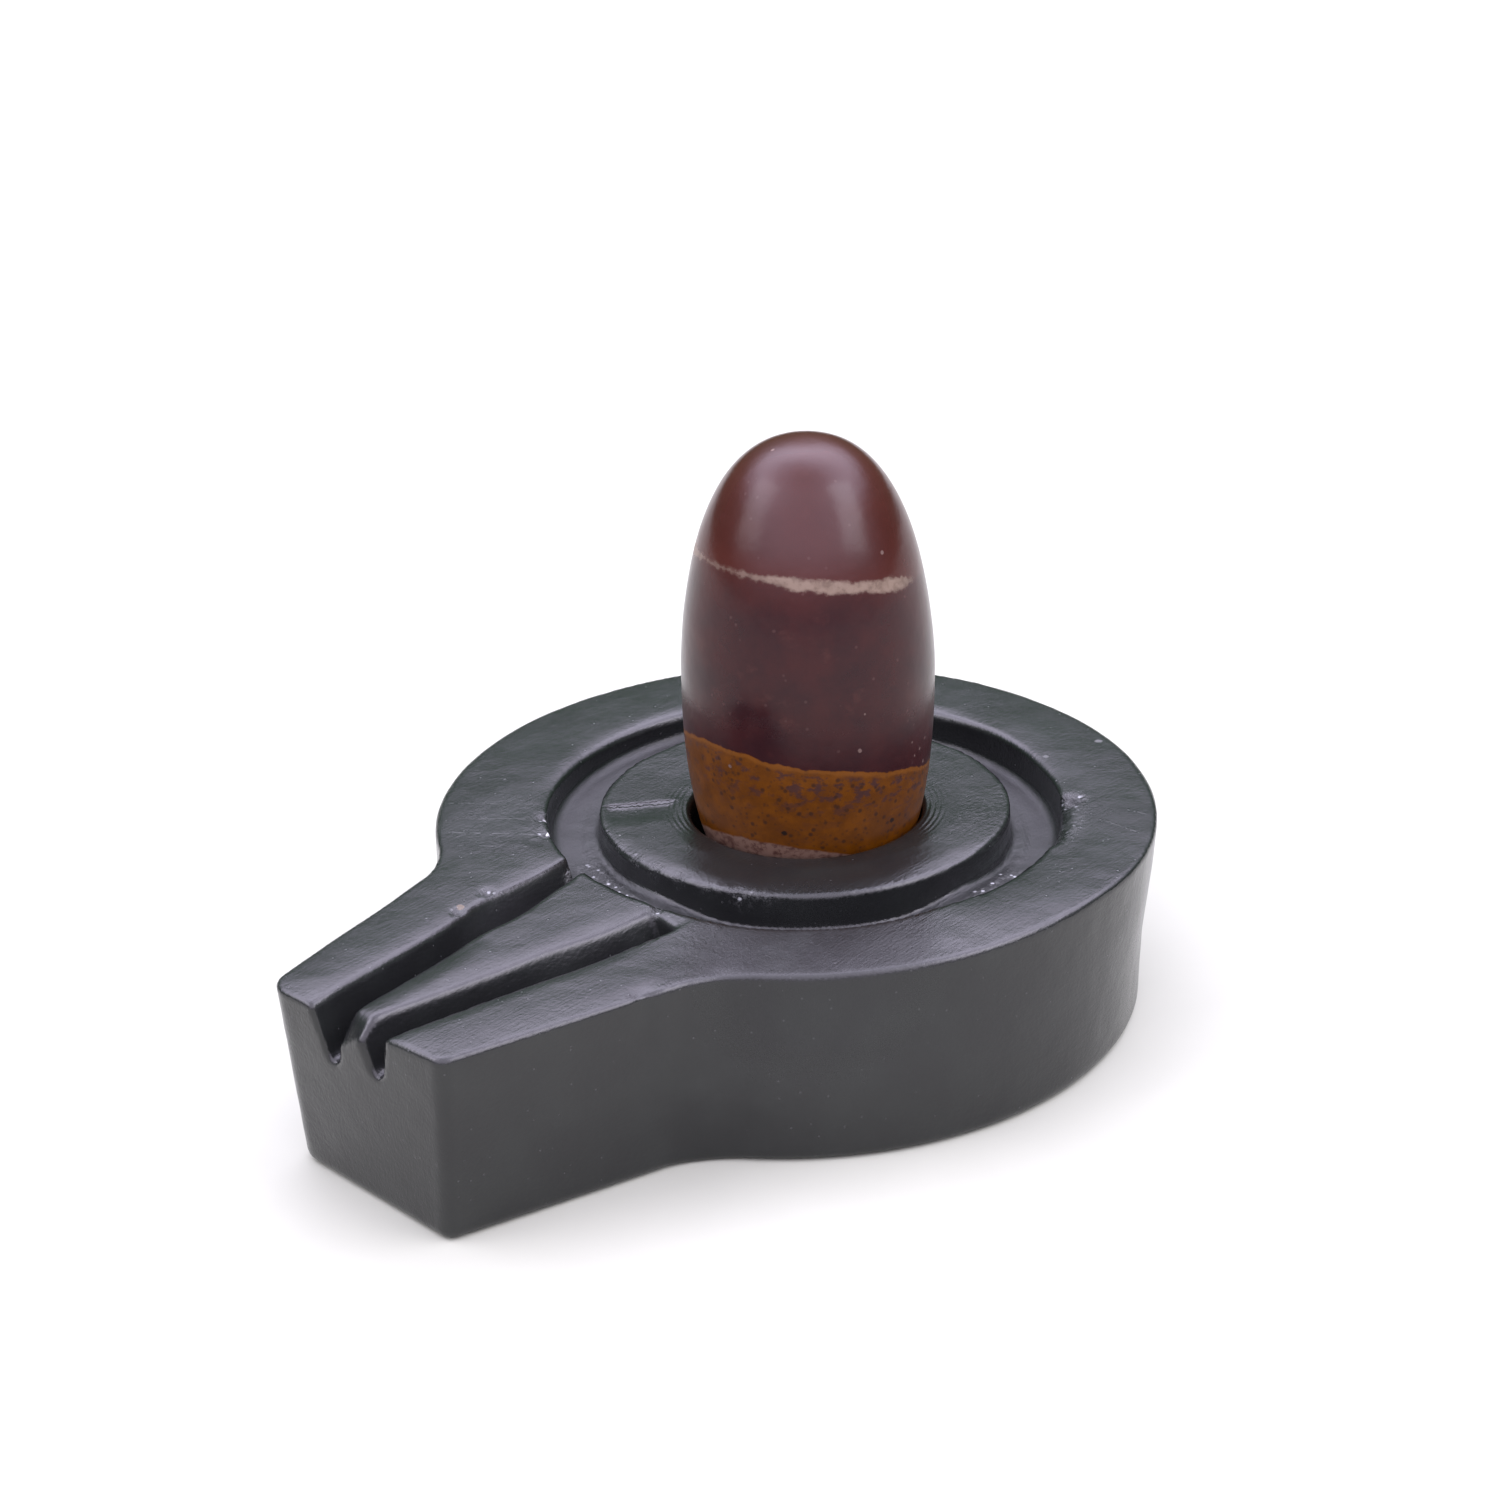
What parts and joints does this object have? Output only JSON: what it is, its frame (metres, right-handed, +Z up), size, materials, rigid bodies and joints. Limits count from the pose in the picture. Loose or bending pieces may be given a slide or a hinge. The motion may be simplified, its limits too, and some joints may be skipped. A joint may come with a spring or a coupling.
{
  "type": "lingam stone on a carved stone base",
  "caption": "Polished egg-shaped brown lingam stone with an ochre foot, standing in the socket of a round carved black stone base with a grooved spout.",
  "frame": {"origin": "under the centre of the base's round body, on its flat underside", "axes": "+Z up along the stone, -X towards the spout's end"},
  "size_m": [0.0787, 0.0599, 0.0485],
  "materials": {
    "black_stone": "honed black stone with softened edges, fine grain and small chips",
    "lingam_stone": "satin river polish, maroon brown with a thin cream vein and a mottled ochre foot"
  },
  "bodies": {
    "root": {"yoni_base": "black_stone", "lingam_stone": "lingam_stone"}
  },
  "joints": []
}
